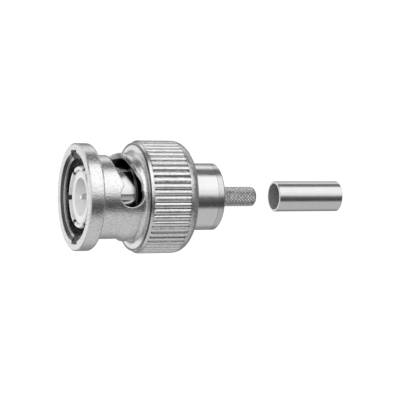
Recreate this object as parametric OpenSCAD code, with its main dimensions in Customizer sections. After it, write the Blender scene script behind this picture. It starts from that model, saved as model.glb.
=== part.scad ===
// Bayonet coaxial plug for thin cable, with its crimp ferrule apart on the same axis.
// X runs along the plug: the mating end looks towards -X, the cable comes out towards +X.
// The origin lies on the axis, in the front plane of the outer contact.

/* [Coupling nut] */
// Length of the coupling nut from its mating face to its rear edge
nut_len = 14.5; // [13.8:0.1:17]
// How far the nut reaches in front of the outer contact
nut_overhang = 0.6; // [0.3:0.1:1.2]
// Diameter of the front flange
flange_d = 13.64; // [12.8:0.02:15]
// Thickness of the front flange
flange_t = 2; // [1.2:0.1:2.6]
// Diameter of the neck between flange and collar
neck_d = 10.84; // [10.7:0.02:11.6]
// Diameter over the flared rear end of the neck
flare_d = 11.32; // [10.9:0.02:12]
// Diameter over the knurled collar
collar_d = 14.5; // [14.2:0.1:16]
// Distance from the mating face to the start of the knurl
collar_start = 8.28; // [8.2:0.02:9.4]
// Length of the knurl
knurl_len = 4.9; // [3:0.1:5.2]
// Number of ribs in the knurl
knurl_ribs = 55; // [36:1:72]
// Depth of the grooves between the ribs
knurl_depth = 0.3; // [0.1:0.02:0.45]
// Diameter over the mouth of the nut
mouth_d = 11.4; // [10.4:0.1:12]
// Depth of the bevel round the mouth of the nut
mouth_depth = 0.45; // [0.2:0.05:0.8]

/* [Bayonet track] */
// Diameter of the barrel of the mating jack
jack_d = 9.65; // [9.5:0.01:9.75]
// Distance across the two studs of the mating jack
stud_span = 11; // [10.9:0.01:11.2]
// Width of the two entry grooves
entry_w = 2.16; // [2:0.02:2.6]
// Width of the helical slots
track_w = 2.34; // [2.1:0.02:2.6]
// Distance from the mating face to the middle of the track at its start
track_start = 5.05; // [4.6:0.05:5.4]
// How far the track climbs towards the rear
track_rise = 1.12; // [0.6:0.02:1.3]
// Angle over which the track climbs
track_turn = 78; // [60:1:82]
// Angle from the entry groove to the locking hole
lock_turn = 88; // [86:1:94]
// How far the locking hole sits in front of the top of the track
lock_drop = 0.27; // [0.1:0.01:0.5]
// Diameter of the locking hole
lock_d = 3.04; // [2.6:0.02:3.2]

/* [Outer contact] */
// Outer diameter of the outer contact
contact_d = 8.1; // [8:0.01:8.3]
// Wall of the outer contact
contact_wall = 0.6; // [0.4:0.02:0.8]
// Length of the contact bead at the tips of the fingers
contact_bead = 1.5; // [0.8:0.1:2.5]
// How far the fingers are relieved behind that bead
contact_relief = 0.18; // [0.17:0.01:0.3]
// Number of spring fingers
finger_count = 6; // [4:1:8]
// Length of the slots between the fingers
finger_len = 6.2; // [4:0.1:7]
// Width of the slots between the fingers
finger_gap = 0.6; // [0.3:0.02:0.8]

/* [Insulators] */
// How far the front insulator and the pin's tip sit behind the outer contact's front
setback = 0.3; // [0.1:0.05:0.6]
// Diameter of the recess in the front insulator
recess_d = 4.9; // [4.84:0.02:5.6]
// Depth of that recess
recess_depth = 5.3; // [4:0.1:6.5]
// Diameter of the rear insulator
rear_insulator_d = 4.6; // [3.4:0.1:5.4]
// Length of the rear insulator
rear_insulator_len = 2.6; // [1.4:0.1:2.9]

/* [Centre contact] */
// Diameter of the centre pin
pin_d = 1.35; // [1.32:0.01:1.37]
// Length of the tapered tip of the pin
pin_taper = 1.3; // [0.8:0.1:2]
// Diameter of the flat at the very tip
pin_tip_d = 0.5; // [0.3:0.05:0.8]
// Diameter of the pin's neck, where the front insulator holds it
pin_neck_d = 1; // [0.8:0.02:1.04]
// Diameter of the crimp barrel behind the pin
pin_barrel_d = 1.52; // [1.5:0.01:1.56]
// Diameter of the hole for the cable's centre conductor
conductor_bore_d = 0.6; // [0.5:0.02:0.8]
// Diameter of the solder inspection hole
peep_d = 0.4; // [0.3:0.05:0.5]

/* [Plug body] */
// Distance from the outer contact's front to the body's front shoulder
shoulder_x = 10.65; // [10.5:0.05:10.8]
// Diameter of the shoulder that the nut turns on
shoulder_d = 11.7; // [11.3:0.1:12]
// Thickness of that shoulder
shoulder_t = 0.95; // [0.6:0.05:1.1]
// Diameter of the plain drum behind the nut
drum_d = 8.66; // [8.2:0.02:8.9]
// Distance from the outer contact's front to the rear face of the drum
drum_end = 18.4; // [17.6:0.1:20]
// Diameter over the diamond knurl of the crimp spigot
spigot_d = 2.62; // [2.4:0.02:3]
// Length of the crimp spigot
spigot_len = 5.8; // [4:0.1:8]
// Diameter of the bore for the cable's dielectric
cable_bore_d = 1.6; // [1.56:0.02:1.8]
// Diameter of the wider bore that leads from the rear insulator to the spigot
lead_bore_d = 2.1; // [1.96:0.02:2.6]
// Number of diamonds around the spigot
diamond_count = 18; // [12:1:24]
// Depth of the diamond knurl
diamond_depth = 0.15; // [0.04:0.01:0.16]

/* [Crimp ferrule] */
// Outer diameter of the ferrule
ferrule_d = 4; // [3.8:0.05:5]
// Wall of the ferrule
ferrule_wall = 0.28; // [0.2:0.02:0.36]
// Length of the ferrule
ferrule_len = 9.2; // [6:0.1:12]
// Gap between the drum's rear face and the ferrule when it is apart
ferrule_apart = 8.8; // [7:0.1:14]

/* [Spring pack] */
// Thickness of the thrust washer
washer_t = 0.25; // [0.15:0.05:0.35]
// Thickness of the wave spring's strip
spring_t = 0.2; // [0.12:0.02:0.26]
// Free height of the wave spring
spring_h = 0.65; // [0.6:0.01:0.7]
// Number of waves in the spring
spring_waves = 3; // [2:1:5]
// Thickness of the retaining ring
ring_t = 0.4; // [0.3:0.05:0.45]
// Opening of the split retaining ring
ring_gap = 1.6; // [1:0.1:3]
// Thickness of the sealing gasket
gasket_t = 0.9; // [0.6:0.05:1]

/* [Hidden] */

fine = 96;            // facets shown around a turned piece
eps = 0.01;           // overshoot of a cut past the face that it opens

jack_clearance = 0.075;    // between jack barrel and nut bore
stud_clearance = 0.45;     // between stud tip and entry groove
turn_clearance = 0.2;      // between nut and what it turns around
ring_clearance = 0.05;     // between retaining ring and its groove
seat_clearance = 0.02;     // between pieces pushed into one another
face_clearance = 0.05;     // between faces that pass when the nut moves

nut_x = -nut_overhang;
bore_r = jack_d / 2 + jack_clearance;
groove_r = stud_span / 2 + stud_clearance;
collar_r = collar_d / 2;
neck_r = neck_d / 2;
flare_r = flare_d / 2;
flange_r = flange_d / 2;
flange_break = 0.14;       // bevel round the front edge of the flange
flange_round = 0.45;       // rounding of its rear edge
neck_fillet = 0.3;         // fillet between flange and neck
flare_start = 5.1;         // where the neck starts to flare
flare_len = 0.9;
land_depth = 0.3;          // how far the plain land before the knurl starts below the ribs
land_len = 0.34;
land_rise = 0.17;          // how much the land rises towards the ribs
rib_bevel = 0.14;          // bevel of the ribs' front ends
rib_turn = -2.4;           // turn of the ribs about the axis, from a rib at the bottom
rib_runout = 0.25;         // length over which the ribs run out at their rear ends
undercut_w = 0.12;         // fine groove between the shoulder's face and the land
undercut_depth = 0.2;
shoulder_fillet = 0.55;    // fillet between the neck and the shoulder's face
track_dwell = 10;          // angle over which the track's rear wall is level at the top of the climb
rear_edge_r = 6.35;        // radius of the nut's rear edge

pack_r = shoulder_d / 2;
chamber_r = pack_r + turn_clearance;
washer_x = shoulder_x + shoulder_t;
spring_x = washer_x + washer_t + face_clearance;
ring_x = spring_x + spring_h + face_clearance;
chamber_x = shoulder_x - face_clearance;
ring_lip = 0.4;            // how far the retaining ring reaches into the nut's wall
ring_r = chamber_r + ring_lip;
drum_r = drum_d / 2;
pack_bore_r = drum_r + turn_clearance;
ring_bore_r = pack_bore_r + turn_clearance;

contact_r = contact_d / 2;
contact_bore_r = contact_r - contact_wall;
contact_break = 0.2;       // lead-in bevel at the tip of the fingers
relief_end = finger_len + 0.3;   // where the fingers' relief ends, behind their slots
recess_end = setback + recess_depth;
gasket_seat = 0.25;        // how far the outer contact steps in under the gasket
gasket_bore_r = contact_r - gasket_seat + seat_clearance;
gasket_r = bore_r - turn_clearance / 2;
gasket_x = shoulder_x - gasket_t;
tail_r = contact_r - 0.35; // radius of the outer contact's pressed-in tail
tail_len = 3.2;            // length of that tail inside the body
tail_stop = 0.5;           // inner step that holds the front insulator
tail_end = shoulder_x + tail_len;

insulator_r = contact_bore_r - seat_clearance;
rear_insulator_r = rear_insulator_d / 2;
rear_insulator_x = tail_end + 2 * face_clearance;
pin_r = pin_d / 2;
barrel_r = pin_barrel_d / 2;
insulator_floor = 1.5;     // thickness of the front insulator that holds the pin
barrel_x = recess_end + insulator_floor;
barrel_end = rear_insulator_x + rear_insulator_len - 1;
conductor_depth = 3;       // depth of the hole for the cable's centre conductor
pin_tip_round = 0.12;      // bevel round the very tip of the pin
drum_break = 0.15;         // bevel round the rear edge of the drum
spigot_r = spigot_d / 2;
spigot_bevel = 0.5;        // length of the spigot's rounded end
spigot_bevel_depth = 0.32;
ferrule_r = ferrule_d / 2;
ferrule_break = 0.06;

// A point at radius r and place x, turned by a degrees from the top towards -Y.
function around(x, r, a) = [x, -r * sin(a), r * cos(a)];

// Points of an arc about [x, r], as [x, r] pairs.
function arc(x, r, radius, from, to, steps = 6) =
    [for (i = [0:steps]) let (a = from + (to - from) * i / steps)
        [x + radius * cos(a), r + radius * sin(a)]];

// A turned solid: outline holds [x, r] pairs.
module turned(outline) {
    rotate([0, 90, 0])
        rotate_extrude($fn = fine)
            polygon([for (p = outline) [p[1], p[0]]]);
}

// A round bar along X.
module bar(x0, x1, r) {
    translate([x0, 0, 0])
        rotate([0, 90, 0])
            cylinder(h = x1 - x0, r = r, $fn = fine);
}

// A tube along X.
module tube(x0, x1, r_in, r_out) {
    difference() {
        bar(x0, x1, r_out);
        bar(x0 - eps, x1 + eps, r_in);
    }
}

// A round hole through the wall at angle a.
module side_hole(x, a, r, reach) {
    translate([x, 0, 0])
        rotate([a, 0, 0])
            cylinder(h = reach, r = r, $fn = fine);
}

// ---- Coupling nut ----

// Middle of the track at angle a, for a track that climbs over the given turn.
function track_x(a, turn = track_turn) = nut_x + track_start + track_rise * pow(min(1, a / turn), 2.6);

// Outer form of the nut, without its ribs.
module nut_blank() {
    knurl_start = nut_x + collar_start;
    knurl_end = knurl_start + knurl_len;
    nut_end = nut_x + nut_len;
    land_x = knurl_start - land_len;
    land_r = collar_r - land_depth;
    face_x = land_x - undercut_w;
    flare_x = nut_x + flare_start + flare_len;
    turned(concat(
        [[nut_x, 0], [nut_x, flange_r - flange_break], [nut_x + flange_break, flange_r]],
        arc(nut_x + flange_t - flange_round, flange_r - flange_round, flange_round, 90, 0),
        arc(nut_x + flange_t + neck_fillet, neck_r + neck_fillet, neck_fillet, 180, 270),
        [[nut_x + flare_start, neck_r], [flare_x, flare_r]],
        arc(face_x - shoulder_fillet, flare_r + shoulder_fillet, shoulder_fillet, 270, 355),
        [[face_x, land_r], [land_x - undercut_w / 2, land_r - undercut_depth], [land_x, land_r]],
        [[knurl_start, land_r + land_rise], [knurl_start + rib_bevel, collar_r]],
        [[knurl_end - rib_runout, collar_r]],
        arc_to_edge(knurl_end - rib_runout, nut_end),
        [[nut_end, 0]]
    ));
}

// Rounded rear edge of the nut, from the collar down to its rear face.
function arc_to_edge(x0, x1, steps = 6) =
    [for (i = [1:steps]) let (a = 62 * i / steps)
        [x0 + (x1 - x0) * sin(a) / sin(62), rear_edge_r + (collar_r - rear_edge_r) * (cos(a) - cos(62)) / (1 - cos(62))]];

// The grooves between the ribs: a ring whose inside has the ribs' section.
module knurl_grooves() {
    pitch = 360 / knurl_ribs;
    root_r = collar_r - knurl_depth;   // each rib is rounded like half an ellipse
    section = [for (i = [0:knurl_ribs - 1], t = [-1, -0.82, -0.5, -0.17, 0.17, 0.5, 0.82])
        [root_r + (knurl_depth + eps) * sqrt(1 - t * t), rib_turn + (i + t / 2) * pitch]];
    translate([nut_x + collar_start, 0, 0])
        rotate([0, 90, 0])
            linear_extrude(height = knurl_len)
                difference() {
                    circle(r = collar_r + 1, $fn = fine);
                    polygon([for (p = section) [p[0] * cos(p[1]), p[0] * sin(p[1])]]);
                }
}

// Helical part of one track, as a strip of straight steps through the wall.
module track_strip(steps = 20) {
    inner = bore_r - 0.6;
    outer = collar_r;
    half = track_w / 2;
    points = [for (i = [0:steps])
        let (a = track_turn * i / steps,
             front = track_x(a) - half,
             rear = track_x(a, track_turn - track_dwell) + half)
        each [around(front, inner, a), around(rear, inner, a), around(rear, outer, a), around(front, outer, a)]];
    last = 4 * steps;
    sides = [for (i = [0:steps - 1], k = [0:3]) let (p = 4 * i + k, q = 4 * i + (k + 1) % 4) each [
        [p, p + 4, q + 4], [p, q + 4, q]]];
    ends = [[0, 1, 2], [0, 2, 3], [last, last + 2, last + 1], [last, last + 3, last + 2]];
    polyhedron(points = points, faces = concat(sides, ends));
}

// Entry groove, helical slot and locking hole for one stud.
module bayonet_track() {
    top_x = track_x(track_turn);
    translate([nut_x - 1, -entry_w / 2, 0])
        cube([track_start + 1, entry_w, groove_r]);
    side_hole(track_x(0), 0, track_w / 2, collar_r);
    track_strip();
    side_hole(top_x, track_turn, track_w / 2, collar_r);
    side_hole(top_x - lock_drop, lock_turn, lock_d / 2, collar_r);
}

// Everything turned out of the inside of the nut.
module nut_inside() {
    mouth_r = mouth_d / 2;
    bar(nut_x - eps, chamber_x + eps, bore_r);
    turned([[nut_x - eps, 0], [nut_x - eps, mouth_r], [nut_x, mouth_r],
            [nut_x + mouth_depth, bore_r], [nut_x + mouth_depth, 0]]);
    bar(chamber_x, nut_x + nut_len + eps, chamber_r);
    bar(ring_x - face_clearance / 2, ring_x + ring_t + face_clearance / 2, ring_r + ring_clearance);
}

module coupling_nut() {
    color("#c4c4c2")
        difference() {
            nut_blank();
            knurl_grooves();
            nut_inside();
            for (turn = [0, 180])
                rotate([turn, 0, 0])
                    bayonet_track();
        }
}

// ---- Spring pack between the nut and the body ----

module retaining_ring() {
    color("#b9b4a6")
        difference() {
            tube(ring_x, ring_x + ring_t, ring_bore_r, ring_r);
            translate([ring_x - eps, -ring_gap / 2, -ring_r - eps])
                cube([ring_t + 2 * eps, ring_gap, ring_r]);
        }
}

// A flat strip ring bent into waves.
module wave_spring(steps = 72) {
    mid = spring_x + spring_h / 2;
    swing = (spring_h - spring_t) / 2;
    points = [for (i = [0:steps - 1]) let (a = 360 * i / steps, x = mid + swing * cos(spring_waves * a)) each [
        around(x - spring_t / 2, pack_bore_r, a), around(x + spring_t / 2, pack_bore_r, a),
        around(x + spring_t / 2, pack_r - turn_clearance, a), around(x - spring_t / 2, pack_r - turn_clearance, a)]];
    faces = [for (i = [0:steps - 1], k = [0:3])
        let (j = (i + 1) % steps, p = 4 * i + k, q = 4 * i + (k + 1) % 4, s = 4 * j + k, t = 4 * j + (k + 1) % 4)
        each [[p, s, t], [p, t, q]]];
    color("#d6c28a") polyhedron(points = points, faces = faces);
}

module thrust_washer() {
    color("#cfcabb") tube(washer_x, washer_x + washer_t, pack_bore_r, pack_r);
}

module gasket() {
    color("#a9563f") tube(gasket_x, shoulder_x, gasket_bore_r, gasket_r);
}

// ---- Plug body ----

// Diamond knurl with a rounded end: crests and valleys change places from ring to ring.
module diamond_knurl(x0, x1, r, steps) {
    sides = 2 * diamond_count;
    pitch = (x1 - x0) / steps;
    function rounding(x) = let (t = max(0, 1 - (x1 - x) / spigot_bevel))
        spigot_bevel_depth * (1 - sqrt(1 - t * t));
    function height(i, j) = r - rounding(x0 + pitch * i)
        - (i == steps ? 0 : ((i + j) % 2) * diamond_depth);
    points = [for (i = [0:steps], j = [0:sides - 1]) around(x0 + pitch * i, height(i, j), 360 * j / sides)];
    function at(i, j) = i * sides + j % sides;
    skin = [for (i = [0:steps - 1], j = [0:sides - 1]) each (i + j) % 2 == 0
        ? [[at(i, j), at(i + 1, j), at(i, j + 1)], [at(i + 1, j), at(i + 1, j + 1), at(i, j + 1)]]
        : [[at(i, j), at(i + 1, j), at(i + 1, j + 1)], [at(i, j), at(i + 1, j + 1), at(i, j + 1)]]];
    front = [[for (j = [0:sides - 1]) at(0, j)]];
    back = [[for (j = [sides - 1:-1:0]) at(steps, j)]];
    polyhedron(points = points, faces = concat(skin, front, back));
}

module plug_body() {
    spigot_end = drum_end + spigot_len;
    knurl_x = drum_end - drum_break / 2;
    diamond_pitch = PI * spigot_d / diamond_count;
    rows = round(2 * (spigot_end - knurl_x) / diamond_pitch);
    color("#c6c6c4")
        difference() {
            union() {
                turned([[shoulder_x, 0], [shoulder_x, pack_r], [washer_x, pack_r], [washer_x, drum_r],
                        [drum_end - drum_break, drum_r], [drum_end, drum_r - drum_break], [drum_end, 0]]);
                diamond_knurl(knurl_x, spigot_end, spigot_r, rows);
            }
            bar(shoulder_x - eps, tail_end + face_clearance, tail_r + seat_clearance);
            bar(tail_end, rear_insulator_x + rear_insulator_len + face_clearance, rear_insulator_r + seat_clearance);
            bar(tail_end, drum_end, lead_bore_d / 2);
            bar(drum_end - eps, spigot_end + eps, cable_bore_d / 2);
        }
}

// ---- Contacts and insulators ----

module outer_contact() {
    step_r = contact_bore_r - tail_stop;
    relief_r = contact_r - contact_relief;
    color("#cdccc6")
        difference() {
            turned([[0, 0], [0, contact_r - contact_break], [contact_break, contact_r], [contact_bead, contact_r],
                    [contact_bead + contact_relief, relief_r], [relief_end - contact_relief, relief_r],
                    [relief_end, contact_r], [gasket_x, contact_r],
                    [gasket_x, contact_r - gasket_seat], [shoulder_x, contact_r - gasket_seat],
                    [shoulder_x, tail_r], [tail_end, tail_r], [tail_end, 0]]);
            bar(-eps, tail_end - tail_stop, contact_bore_r);
            bar(-eps, tail_end + eps, step_r);
            for (i = [0:finger_count - 1])
                rotate([90 + 360 * i / finger_count, 0, 0])
                    translate([-eps, -finger_gap / 2, 0])
                        cube([finger_len + eps, finger_gap, contact_r + eps]);
        }
}

module front_insulator() {
    bore = barrel_r + seat_clearance;
    color("#f4f4f0")
        difference() {
            bar(setback, tail_end - tail_stop - seat_clearance, insulator_r);
            bar(setback - eps, recess_end, recess_d / 2);
            bar(recess_end - eps, barrel_x + eps, pin_r + seat_clearance);
            bar(barrel_x - seat_clearance, tail_end, bore);
        }
}

module rear_insulator() {
    color("#efefe9")
        tube(rear_insulator_x, rear_insulator_x + rear_insulator_len, barrel_r + seat_clearance, rear_insulator_r);
}

module centre_contact() {
    color("#d9d3bf")
        difference() {
            turned([[setback, 0], [setback, pin_tip_d / 2],
                    [setback + pin_tip_round, pin_tip_d / 2 + pin_tip_round], [setback + pin_taper, pin_r],
                    [recess_end, pin_r], [recess_end, pin_neck_d / 2], [barrel_x, pin_neck_d / 2],
                    [barrel_x, barrel_r], [barrel_end, barrel_r], [barrel_end, 0]]);
            bar(barrel_end - conductor_depth, barrel_end + eps, conductor_bore_d / 2);
            side_hole(barrel_end - conductor_depth + peep_d, 0, peep_d / 2, barrel_r + eps);
        }
}

// ---- Crimp ferrule ----

module crimp_ferrule() {
    x0 = drum_end + ferrule_apart;
    x1 = x0 + ferrule_len;
    bore = ferrule_r - ferrule_wall;
    color("#c8c8c6")
        difference() {
            turned([[x0, 0], [x0, ferrule_r - ferrule_break], [x0 + ferrule_break, ferrule_r],
                    [x1 - ferrule_break, ferrule_r], [x1, ferrule_r - ferrule_break], [x1, 0]]);
            bar(x0 - eps, x1 + eps, bore);
        }
}

coupling_nut();
retaining_ring();
wave_spring();
thrust_washer();
plug_body();
gasket();
outer_contact();
front_insulator();
rear_insulator();
centre_contact();
crimp_ferrule();
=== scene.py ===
"""Looks of a bayonet coaxial plug and its crimp ferrule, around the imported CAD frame."""

import math

import bpy
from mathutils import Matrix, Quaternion, Vector


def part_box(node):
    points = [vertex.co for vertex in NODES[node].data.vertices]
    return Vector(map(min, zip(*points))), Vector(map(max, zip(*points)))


MM = 0.001

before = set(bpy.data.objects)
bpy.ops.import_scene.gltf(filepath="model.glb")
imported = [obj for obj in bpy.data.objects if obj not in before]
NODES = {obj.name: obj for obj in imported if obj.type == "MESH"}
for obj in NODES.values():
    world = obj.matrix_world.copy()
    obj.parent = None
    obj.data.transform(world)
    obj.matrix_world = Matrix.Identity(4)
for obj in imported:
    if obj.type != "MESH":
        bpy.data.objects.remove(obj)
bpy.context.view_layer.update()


# ---- Shader maths ----


class Maker:
    """Adds nodes to one node tree and wires them."""

    def __init__(self, tree):
        self.tree = tree

    def node(self, kind, settings=None, **inputs):
        """A node with its settings, then its sockets, named with _ for a space or numbered as _0."""
        made = self.tree.nodes.new(kind)
        for key, value in (settings or {}).items():
            if key == "stops":
                set_stops(made.color_ramp, value)
            else:
                setattr(made, key, value)
        for key, value in inputs.items():
            socket = int(key[1:]) if key[1:].isdigit() else key.replace("_", " ")
            self.feed(made.inputs[socket], value)
        return made

    def feed(self, socket, value):
        if isinstance(value, Value):
            value = value.socket
        if isinstance(value, bpy.types.NodeSocket):
            self.tree.links.new(value, socket)
        else:
            socket.default_value = value

    def value(self, socket):
        return Value(self, socket)

    def math(self, operation, *values):
        made = self.node("ShaderNodeMath", {"operation": operation})
        for socket, value in zip(made.inputs, values):
            self.feed(socket, value)
        return self.value(made.outputs[0])

    def parts(self, vector):
        """The three numbers of a vector."""
        parted = self.node("ShaderNodeSeparateXYZ", _0=vector)
        return [self.value(output) for output in parted.outputs]

    def noise(self, place, scale, **settings):
        """Cloudy number around 0.5, finer as scale grows."""
        made = self.node("ShaderNodeTexNoise", Vector=place, Scale=scale, **settings)
        return self.value(made.outputs[0])

    def blend(self, share, first, second):
        """Mix of two greys or colours."""
        made = self.node("ShaderNodeMix", {"data_type": "RGBA"},
                         _0=share, _6=colour(first), _7=colour(second))
        return made.outputs[2]

    def ease(self, value, start, end):
        """0 below start, 1 above end, smooth between."""
        made = self.node("ShaderNodeMapRange", {"interpolation_type": "SMOOTHSTEP"},
                         _0=value, _1=start, _2=end)
        return self.value(made.outputs[0])

    def band(self, value, start, end, soft):
        """1 from start to end, 0 outside by more than soft."""
        return self.ease(value, start - soft, start) * (1 - self.ease(value, end, end + soft))


class Value:
    """A number socket that takes part in Python expressions."""

    def __init__(self, maker, socket):
        self.maker = maker
        self.socket = socket

    def __add__(self, other):
        return self.maker.math("ADD", self, other)

    def __sub__(self, other):
        return self.maker.math("SUBTRACT", self, other)

    def __mul__(self, other):
        return self.maker.math("MULTIPLY", self, other)

    def __truediv__(self, other):
        return self.maker.math("DIVIDE", self, other)

    def __rsub__(self, other):
        return self.maker.math("SUBTRACT", other, self)

    __radd__ = __add__
    __rmul__ = __mul__


def colour(shade):
    """A grey or an RGB triple as the four numbers of a colour socket; sockets pass through."""
    if isinstance(shade, (Value, bpy.types.NodeSocket)):
        return shade
    return (*shade, 1) if isinstance(shade, tuple) else (shade, shade, shade, 1)


def set_stops(ramp, stops):
    while len(ramp.elements) > 1:
        ramp.elements.remove(ramp.elements[-1])
    for index, (place, shade) in enumerate(stops):
        element = ramp.elements[0] if index == 0 else ramp.elements.new(place)
        element.position = place
        element.color = colour(shade)


# ---- Camera ----

SENSOR = 36               # width, in mm
LENS = 153                # focal length, in mm
DISTANCE = 214.6          # from the camera to the nut's mating face, in mm
ASIDE = 15.93             # how far the camera stands to the right of that face, in mm
BELOW = 0.43              # how far it stands below the plug's axis, in mm
TURN = math.radians(22.42)
ROLL = math.radians(0.25)


def add_camera():
    """Level camera that looks along the plug from the mating end."""
    right = Vector((math.cos(TURN), -math.sin(TURN), 0))
    ahead = Vector((math.sin(TURN), math.cos(TURN), 0))
    down = Vector((0, 0, -1))
    mating_face = Vector((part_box("coupling_nut")[0][0], 0, 0))
    data = bpy.data.cameras.new("studio_camera")
    data.sensor_width = SENSOR
    data.lens = LENS
    data.clip_start = MM
    camera = bpy.data.objects.new("studio_camera", data)
    bpy.context.scene.collection.objects.link(camera)
    camera.location = mating_face + (ASIDE * right - DISTANCE * ahead + BELOW * down) * MM
    level = ahead.to_track_quat("-Z", "Y")
    camera.rotation_euler = (level @ Quaternion((0, 0, 1), -ROLL)).to_euler()
    bpy.context.scene.camera = camera


# ---- Studio ----

# Soft panels round the plug's axis, seen from the plug: the angle where each ends, going from
# straight behind over the floor, the camera (0) and the ceiling (90) back to straight behind,
# its brightness, and how softly it runs into the next
PANELS = [
    (-150, 0.18, 8), (-123, 0.24, 10), (-40, 0.46, 5), (-14, 0.06, 5), (3, 0.12, 7), (24, 0.76, 9),
    (77, 0.93, 6), (112, 0.14, 6), (131, 0.76, 5), (148, 0.42, 6), (180, 0.14, 0)]
PANEL_LIGHT = 1.4         # strength of the panels
CARD = 0.8                # brightness of a card behind the plug, towards its mating end
FRONT_END = 0.5           # brightness straight ahead of the mating end
REAR_END = 0.16           # brightness straight behind the cable end
PAPER_LIGHT = 1.05        # strength of the white that shows behind the plug
FILL_PLACE = Vector((-0.24, -0.16, 0.07))
FILL_SIZE = 0.12          # in m
FILL_POWER = 0.35         # in W
FLOOR_DROP = 0.05         # from the plug's axis down to the floor, in m
FLOOR_SIZE = 2.4          # in m


def panel_stops():
    stops = [(0.0, PANELS[0][1])]
    for (edge, shade, soft), (_, following, _) in zip(PANELS, PANELS[1:]):
        stops.append((0.5 + (edge - soft) / 360, shade))
        stops.append((0.5 + (edge + soft) / 360, following))
    return stops


def add_studio():
    """White studio with long soft panels, which the turned metal mirrors as bands."""
    bpy.context.scene.view_settings.view_transform = "Standard"
    world = bpy.data.worlds.new("studio")
    bpy.context.scene.world = world
    world.use_nodes = True
    tree = world.node_tree
    tree.nodes.clear()
    maker = Maker(tree)
    x, y, z = maker.parts(maker.node("ShaderNodeTexCoord").outputs["Generated"])
    turn = maker.math("ARCTAN2", z, 0 - y) / (2 * math.pi) + 0.5
    panels = maker.node("ShaderNodeValToRGB", {"stops": panel_stops()}, _0=turn).outputs[0]
    card = maker.ease(0 - x, 0.12, 0.3) * maker.ease(y, 0.7, 0.85)
    front_end = maker.ease(0 - x, 0.8, 0.95)
    rear_end = maker.ease(x, 0.8, 0.95)
    lit = maker.blend(card, panels, CARD)
    lit = maker.blend(front_end, lit, FRONT_END)
    lit = maker.blend(rear_end, lit, REAR_END)
    glow = maker.node("ShaderNodeBackground", Color=lit, Strength=PANEL_LIGHT)
    paper = maker.node("ShaderNodeBackground", Color=colour(1), Strength=PAPER_LIGHT)
    seen = maker.node("ShaderNodeLightPath").outputs["Is Camera Ray"]
    both = maker.node("ShaderNodeMixShader", _0=seen, _1=glow.outputs[0], _2=paper.outputs[0])
    maker.node("ShaderNodeOutputWorld", Surface=both.outputs[0])


def add_front_fill():
    """Soft fill from the mating end for the white insulator, which the metal doesn't mirror."""
    data = bpy.data.lights.new("front_fill", "AREA")
    data.shape = "DISK"
    data.size = FILL_SIZE
    data.energy = FILL_POWER
    fill = bpy.data.objects.new("front_fill", data)
    bpy.context.scene.collection.objects.link(fill)
    fill.location = FILL_PLACE
    fill.rotation_euler = (-FILL_PLACE).to_track_quat("-Z", "Y").to_euler()
    fill.visible_glossy = False


def add_floor():
    """Plain white paper well below the plug, which the metal doesn't mirror."""
    bpy.ops.mesh.primitive_plane_add(size=FLOOR_SIZE, location=(0, 0, -FLOOR_DROP))
    floor = bpy.context.object
    floor.name = "floor_paper"
    material, _, shader = new_material("floor_white")
    shader.inputs["Base Color"].default_value = colour(0.9)
    shader.inputs["Roughness"].default_value = 0.9
    shader.inputs["Emission Color"].default_value = colour(1)
    shader.inputs["Emission Strength"].default_value = 0.5
    floor.data.materials.append(material)
    floor.visible_glossy = False
    floor.visible_diffuse = False


# ---- Finishes ----

RING_FINENESS = 9000.0    # tool rings of the nut, the contact and the small pieces
DRUM_END = 18.4           # rear face of the body's drum, in mm from the mating plane
NUT_SHADOW_SPAN = 5.7, 6.5        # where the nut begins to cover the outer contact and its painted shadow begins, in mm from that plane


def new_material(name, metallic=0):
    material = bpy.data.materials.new(name)
    material.use_nodes = True
    tree = material.node_tree
    tree.nodes.clear()
    maker = Maker(tree)
    shader = maker.node("ShaderNodeBsdfPrincipled", Metallic=metallic)
    maker.node("ShaderNodeOutputMaterial", Surface=shader.outputs[0])
    return material, maker, shader


def place_on_piece(maker):
    """Object coordinates, and along, across and up as numbers."""
    place = maker.node("ShaderNodeTexCoord").outputs["Object"]
    return place, *maker.parts(place)


def tool_rings(maker, x, fineness=RING_FINENESS):
    """Fine uneven rings that a turning tool leaves, as a number around 0.5."""
    line = maker.node("ShaderNodeCombineXYZ", _0=x * fineness).outputs[0]
    return maker.noise(line, 1.0, Detail=3.0, Roughness=0.7)


def rounded_edges(maker, radius):
    """Normal of a surface whose sharp edges are slightly rounded; radius in mm."""
    return maker.node("ShaderNodeBevel", {"samples": 8}, Radius=radius * MM).outputs[0]


def finish(maker, shader, shade, roughness, bump):
    """Wires the colour, the roughness and the bump of a finish."""
    maker.feed(shader.inputs["Base Color"], shade)
    maker.feed(shader.inputs["Roughness"], roughness)
    maker.feed(shader.inputs["Normal"], bump.outputs[0])


def nickel(name, shade, roughness):
    """Nickel plate over turned brass: tool rings, fine grain and an uneven gloss."""
    material, maker, shader = new_material(name, metallic=1)
    place, x, _, _ = place_on_piece(maker)
    cloud = maker.noise(place, 700.0, Detail=5.0, Roughness=0.65)
    speck = maker.noise(place, 3200.0, Detail=2.0)
    ring = tool_rings(maker, x)
    tone = maker.ease(cloud * 0.7 + speck * 0.3, 0.3, 0.7)
    gloss = roughness + (cloud - 0.5) * roughness * 0.8 + (ring - 0.5) * roughness * 0.5
    bump = maker.node("ShaderNodeBump", Height=speck * 0.2 + ring * 0.3, Strength=0.5, Distance=0.000012)
    finish(maker, shader, maker.blend(tone, shade * 0.95, shade * 1.05), gloss, bump)
    return material


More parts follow.
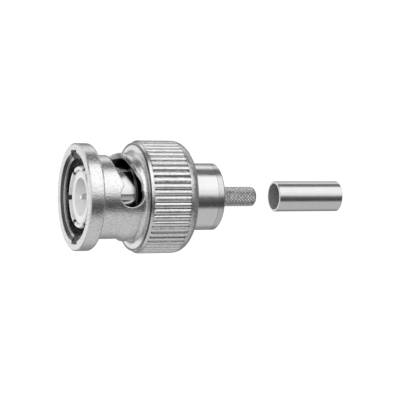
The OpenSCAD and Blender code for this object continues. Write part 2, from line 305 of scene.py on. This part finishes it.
def nut_nickel():
    """Satin nickel on the nut, rougher inside; painted shade darkens the inside, the undercut and the
    knurl's grooves.

    Places are in mm behind the nut's mating face, and radii in mm.
    """
    material, maker, shader = new_material("nut_nickel", metallic=1)
    place, x, y, z = place_on_piece(maker)
    along = (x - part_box("coupling_nut")[0][0]) / MM
    radius = maker.math("SQRT", y * y + z * z) / MM
    off_centre = maker.math("ABSOLUTE", y)
    facing = maker.parts(maker.node("ShaderNodeTexCoord").outputs["Normal"])[0]
    sideways = 1 - maker.ease(maker.math("ABSOLUTE", facing), 0.3, 0.6)

    cloud = maker.noise(place, 900.0, Detail=5.0, Roughness=0.65)
    speck = maker.noise(place, 4800.0, Detail=3.0, Roughness=0.65)
    pits = maker.ease(maker.noise(place, 5600.0, Detail=1.0), 0.6, 0.68)
    ring = tool_rings(maker, x)
    stain = maker.ease(speck * 0.7 + cloud * 0.3, 0.36, 0.62)

    # Inside, where shade is painted: the recess of the mouth, the throat behind it, the bore, and the
    # walls of the tracks
    mouth = maker.band(along, 0.04, 0.3, 0.02) * maker.band(radius, 5.16, 5.66, 0.02)
    throat = maker.band(along, 0.3, 2.2, 0.04) * (1 - maker.ease(radius, 5.06, 5.1))
    bore = (1 - maker.ease(radius, 4.93, 4.97)) * maker.ease(along, 1.2, 2.2)
    deep_painted_shade = bore * maker.ease(along, 5.4, 7.0)
    wall = (1 - maker.ease(radius, 5.04, 5.1)) * maker.ease(along, 3.2, 3.8)
    key_floor = (1 - maker.ease(off_centre, 1.05 * MM, 1.13 * MM)) * maker.band(radius, 4.97, 5.98, 0.03)
    # Painted shade: the bore, the track walls and the key floors are greyer, and rougher too
    dull_and_painted_shade = maker.math("MAXIMUM", maker.math("MAXIMUM", bore, wall), key_floor * 0.8)

    # Outside: the neck, the undercut at the shoulder and the knurl's grooves with their ends, which get
    # painted shade, and the rear
    neck = maker.band(along, 2.6, 7.5, 0.1)
    undercut = maker.band(along, 7.81, 7.92, 0.03) * maker.band(radius, 6.66, 6.9, 0.05)
    groove = maker.band(along, 8.30, 13.2, 0.03) * maker.band(radius, 6.85, 6.98, 0.1)
    groove_end = maker.band(along, 8.28, 8.48, 0.05) * maker.band(radius, 6.85, 7.1, 0.05) * sideways
    rear = maker.ease(along, 12.95, 13.3)

    # Real pits, and painted shade in the mouth, the throat, the undercut and the knurl's grooves and
    # their ends
    dirt_and_painted_shade = pits * 0.22 + undercut * 0.8 + mouth * 0.85 + throat * (0.25 + ring * 0.5)
    dirt_and_painted_shade = maker.math("MINIMUM", dirt_and_painted_shade + groove * 0.45 + groove_end * 0.95, 0.97)
    shade = maker.blend(stain, 0.7, 0.82)
    # Painted shade: grey inside, near black deep in the bore
    shade = maker.blend(dull_and_painted_shade * 0.85, shade, 0.6)
    shade = maker.blend(deep_painted_shade * 0.95, shade, 0.01)
    shade = maker.blend(rear * (1 - stain) * 0.8, shade, 0.28)
    shade = maker.blend(dirt_and_painted_shade, shade, 0.02)
    gloss = 0.15 + cloud * 0.09 + (ring - 0.5) * 0.06 + dull_and_painted_shade * 0.25 + rear * 0.1
    crisp = maker.node("ShaderNodeNewGeometry").outputs["Normal"]
    edges = maker.node("ShaderNodeMix", {"data_type": "VECTOR"},
                       _0=neck, _4=crisp, _5=rounded_edges(maker, 0.2)).outputs[1]
    bump = maker.node("ShaderNodeBump", Height=speck + ring * 0.2, Strength=0.8, Distance=0.000035,
                      Normal=edges)
    finish(maker, shader, shade, gloss, bump)
    return material


def body_nickel():
    """Bright turned nickel, with tool marks at the drum's end, stains on the spigot and painted shade in
    the valleys of its knurl.

    Places are in mm behind the mating plane, and radii in mm.
    """
    material, maker, shader = new_material("body_nickel", metallic=1)
    place, x, y, z = place_on_piece(maker)
    along = x / MM
    radius = maker.math("SQRT", y * y + z * z) / MM
    cloud = maker.noise(place, 1400.0, Detail=5.0, Roughness=0.6)
    speck = maker.noise(place, 6500.0, Detail=2.0)
    strand = maker.noise(place, 4200.0, Detail=2.0, Distortion=1.2)
    ring = tool_rings(maker, x, 11000.0)

    spigot = maker.ease(along, DRUM_END + 0.02, DRUM_END + 0.1)
    marks = maker.ease(along, DRUM_END - 1.0, DRUM_END - 0.8) * (1 - spigot)
    line_start = maker.ease(along, DRUM_END - 0.95, DRUM_END - 0.9)
    line_end = maker.ease(along, DRUM_END - 0.86, DRUM_END - 0.82)
    line = line_start * (1 - line_end)
    # Painted shade in the valleys of the spigot's knurl
    valley = spigot * (1 - maker.ease(radius, 1.17, 1.29))
    stain = spigot * (1 - maker.ease(strand, 0.36, 0.5))

    # Stains, tool marks and a dark line, with painted shade in the knurl's valleys
    dirt_and_painted_shade = valley * 0.3 + stain * 0.45 + line * 0.3 + marks * ring * 0.35
    tone = maker.ease(cloud * 0.7 + speck * 0.3, 0.35, 0.65)
    shade = maker.blend(maker.math("MINIMUM", dirt_and_painted_shade, 0.92), maker.blend(tone, 0.7, 0.74), 0.06)
    gloss = 0.09 + maker.ease(cloud, 0.3, 0.7) * 0.09 + marks * 0.05 + spigot * 0.05
    height = cloud * 0.6 + speck * 0.2 + ring * (0.05 + marks * 0.25) + strand * spigot * 1.2
    bump = maker.node("ShaderNodeBump", Height=height, Strength=0.6, Distance=0.00003,
                      Normal=rounded_edges(maker, 0.08))
    finish(maker, shader, shade, gloss, bump)
    return material


def contact_nickel():
    """Bright at the fingers, with the nut's shadow painted near black where the nut covers it."""
    material, maker, shader = new_material("contact_nickel", metallic=1)
    place, x, _, _ = place_on_piece(maker)
    cloud = maker.noise(place, 900.0, Detail=4.0)
    speck = maker.noise(place, 6500.0, Detail=2.0)
    ring = tool_rings(maker, x)
    # Painted shadow of the nut on the contact, near black
    painted_nut_shadow = maker.ease(x / MM, *NUT_SHADOW_SPAN)
    shade = maker.blend(painted_nut_shadow * 0.93, maker.blend(cloud, 0.64, 0.76), 0.03)
    gloss = 0.12 + cloud * 0.06 + ring * 0.05
    bump = maker.node("ShaderNodeBump", Height=speck * 0.3 + ring * 0.2, Strength=0.5, Distance=0.00002,
                      Normal=rounded_edges(maker, 0.06))
    finish(maker, shader, shade, gloss, bump)
    return material


def ferrule_nickel():
    """Drawn tube: satin outside with faint lines along it; inside rougher and less metallic, with
    painted shade darkening its colour.
    """
    material, maker, shader = new_material("ferrule_nickel")
    place, _, y, z = place_on_piece(maker)
    low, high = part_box("crimp_ferrule")
    middle = (low[2] + high[2]) / 2
    outer = (high[2] - low[2]) / 2
    distance = maker.math("SQRT", y * y + (z - middle) * (z - middle))
    inside = 1 - maker.ease(distance, outer - 0.27 * MM, outer - 0.2 * MM)
    cloud = maker.noise(place, 900.0, Detail=5.0)
    speck = maker.noise(place, 5200.0, Detail=2.0)
    drawn = maker.node("ShaderNodeMapping", _0=place, Scale=(250.0, 7000.0, 7000.0)).outputs[0]
    line = maker.noise(drawn, 1.0, Detail=3.0, Roughness=0.6)
    maker.feed(shader.inputs["Metallic"], 1 - inside * 0.25)
    bright = maker.blend(cloud * 0.5 + line * 0.5, 0.61, 0.73)
    # Painted shade: the inside is darker
    dull_and_painted_shade = maker.blend(speck, 0.4, 0.7)
    gloss = 0.15 + cloud * 0.06 + inside * 0.4
    bump = maker.node("ShaderNodeBump", Height=speck * 0.3 + line * 0.7, Strength=0.5, Distance=0.000012)
    finish(maker, shader, maker.blend(inside, bright, dull_and_painted_shade), gloss, bump)
    return material


def moulded(name, shade, other, roughness):
    """Waxy or rubbery piece with a slightly cloudy colour and a fine skin."""
    material, maker, shader = new_material(name)
    place = place_on_piece(maker)[0]
    cloud = maker.noise(place, 600.0, Detail=4.0)
    skin = maker.noise(place, 6000.0, Detail=2.0)
    gloss = roughness + (cloud - 0.5) * 0.15
    bump = maker.node("ShaderNodeBump", Height=skin, Strength=0.3, Distance=0.000006)
    finish(maker, shader, maker.blend(cloud, shade, other), gloss, bump)
    return material


def dress():
    finishes = {
        "coupling_nut": nut_nickel(),
        "plug_body": body_nickel(),
        "outer_contact": contact_nickel(),
        "crimp_ferrule": ferrule_nickel(),
        "centre_contact": nickel("pin_silver", shade=0.85, roughness=0.12),
        "front_insulator": moulded("ptfe_white", (0.88, 0.88, 0.87), (0.93, 0.93, 0.92), 0.4),
        "rear_insulator": moulded("ptfe_rear", (0.86, 0.86, 0.85), (0.91, 0.91, 0.9), 0.4),
        "gasket": moulded("silicone_red", (0.26, 0.05, 0.03), (0.32, 0.07, 0.04), 0.6),
        "thrust_washer": nickel("washer_steel", shade=0.5, roughness=0.25),
        "retaining_ring": nickel("ring_steel", shade=0.5, roughness=0.25),
        "wave_spring": nickel("spring_bronze", shade=0.5, roughness=0.25),
    }
    for name, material in finishes.items():
        mesh = NODES[name].data
        mesh.materials.clear()
        mesh.materials.append(material)


add_camera()
add_studio()
add_front_fill()
add_floor()
dress()
